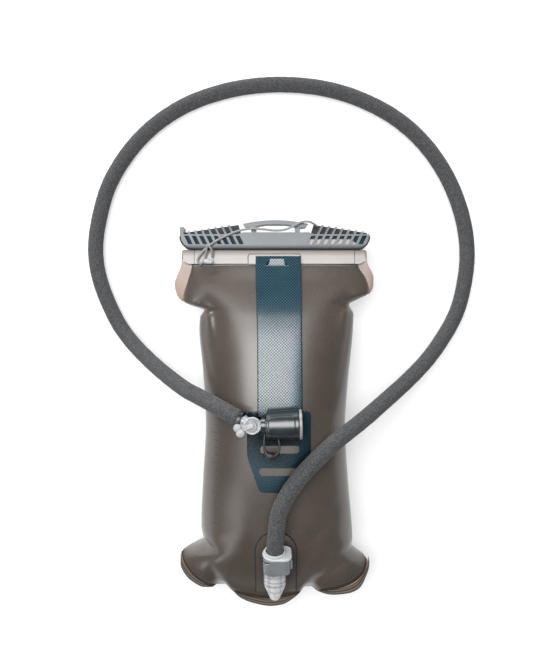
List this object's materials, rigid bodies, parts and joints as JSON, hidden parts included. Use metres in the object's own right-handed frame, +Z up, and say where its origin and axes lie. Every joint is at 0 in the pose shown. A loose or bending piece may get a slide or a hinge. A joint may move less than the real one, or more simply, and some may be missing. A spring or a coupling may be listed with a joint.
{
  "type": "hydration bladder",
  "caption": "Filled drinking reservoir lying on its back, with slide closure, hand strap, outlet port, and an insulated drink tube ending in a capped bite valve.",
  "frame": {"origin": "on the surface that the filled reservoir lies on, under the middle of the reservoir's box without its drink tube", "axes": "+Z up, out of the front of the reservoir; +Y along the reservoir towards the slide closure and its handle; +X to the right when the front is seen with the closure at the top"},
  "size_m": [0.3931, 0.5301, 0.1094],
  "materials": {
    "film": "satin translucent smoke-grey urethane film",
    "weld_flange": "single clear film lit from behind, pinkish tan",
    "rail": "frosted white",
    "clear_plastic": "clear, slightly frosted",
    "strap": "slate-blue coated weave with a soft sheen",
    "collar": "satin light grey",
    "spring": "drawn wire",
    "seal": "matt",
    "bar": "satin grey with a fine mould grain",
    "liner": "satin teal",
    "cord": "light grey braided elastic",
    "sleeve": "heathered charcoal knit over foam",
    "tube": "smooth translucent",
    "silicone": "matt silicone",
    "rim": "satin light grey",
    "black_plastic": "glossy black"
  },
  "bodies": {
    "reservoir": {"front_panel": "film", "back_panel": "film", "bottom_weld": "weld_flange", "mouth_flange_left": "weld_flange", "mouth_flange_right": "weld_flange", "closure_rail": "rail", "rail_end_tab_left": "rail", "rail_end_tab_right": "rail", "strap_anchor_patch": "clear_plastic", "grip_strap": "strap", "strap_base_plate": "strap", "port_weld_patch": "film", "port_body": "clear_plastic", "port_end_cap": "clear_plastic", "poppet_spring": "spring", "tether_cord": "cord", "tether_bead": "clear_plastic"},
    "slide_bar": {"slide_bar": "bar", "slide_bar_liner": "liner"},
    "poppet": {"port_poppet": "collar"},
    "drink_line": {"plug_collar": "collar", "plug_stem": "collar", "stem_o_ring_lower": "seal", "stem_o_ring_upper": "seal", "hose_lip_ring": "rail", "button_spring": "spring", "insulation_sleeve": "sleeve", "drink_tube": "tube", "sleeve_end_ring": "black_plastic", "valve_body": "clear_plastic", "rotor_o_ring": "seal", "valve_neck": "black_plastic", "bite_valve": "silicone"},
    "release_button": {"release_button": "collar"},
    "shutoff": {"shutoff_knob": "clear_plastic"},
    "dust_cap": {"dust_cap": "black_plastic", "cap_rim": "rim", "keeper_loop": "black_plastic"}
  },
  "joints": [
    {"name": "bar_slide", "type": "slide", "parent": "reservoir", "child": "slide_bar", "axis": [1, 0, 0], "range_m": [-0.185, 0], "deforming": ["tether_cord"]},
    {"name": "plug_pull", "type": "slide", "parent": "reservoir", "child": "drink_line", "axis": [0, 0.9563, 0.2924], "range_m": [0, 0.016]},
    {"name": "poppet_close", "type": "slide", "parent": "reservoir", "child": "poppet", "axis": [0, 0.9563, 0.2924], "range_m": [0, 0.002], "deforming": ["poppet_spring"]},
    {"name": "button_press", "type": "slide", "parent": "drink_line", "child": "release_button", "axis": [-1, 0, 0], "range_m": [0, 0.0015], "stiffness_N_per_m": 200, "springref_m": -0.002, "deforming": ["button_spring"]},
    {"name": "shutoff_turn", "type": "hinge", "parent": "drink_line", "child": "shutoff", "pos_m": [-0.0185, -0.0003, 0.1], "axis": [0, 0, 1], "range_deg": [0, 90]},
    {"name": "cap_pull", "type": "slide", "parent": "drink_line", "child": "dust_cap", "axis": [0.9997, 0.0262, 0], "range_m": [0, 0.027]}
  ],
  "couplings": [
    {"joint": "poppet_close", "follows": "plug_pull", "ratio": 0.125}
  ]
}
